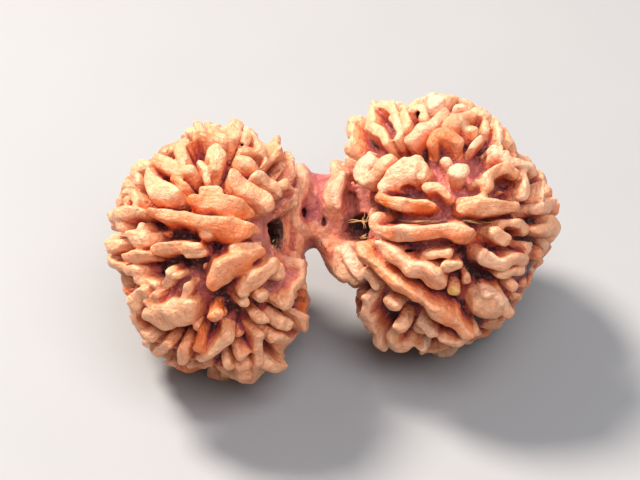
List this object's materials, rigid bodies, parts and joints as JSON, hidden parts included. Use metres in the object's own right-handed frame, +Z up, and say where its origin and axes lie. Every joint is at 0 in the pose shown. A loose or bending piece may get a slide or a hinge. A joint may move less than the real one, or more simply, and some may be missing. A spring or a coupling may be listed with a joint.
{
  "type": "gauri shankar rudraksha bead",
  "caption": "Natural double seed: two round, deeply ridged stone seeds grown together side by side, each bored for a string.",
  "frame": {"origin": "centre of the box round the bead, on the plane that it rests on", "axes": "+X along the pair from the smaller seed to the bigger one, +Z up from the resting plane, the mouths of the bores face -Y and up"},
  "size_m": [0.0338, 0.0205, 0.02],
  "materials": {
    "seed_stone": "dry, faintly waxy seed stone: light tan ridge tops, orange-brown flanks, dark red-brown valleys"
  },
  "bodies": {
    "root": {"gauri_shankar_bead": "seed_stone"}
  },
  "joints": []
}
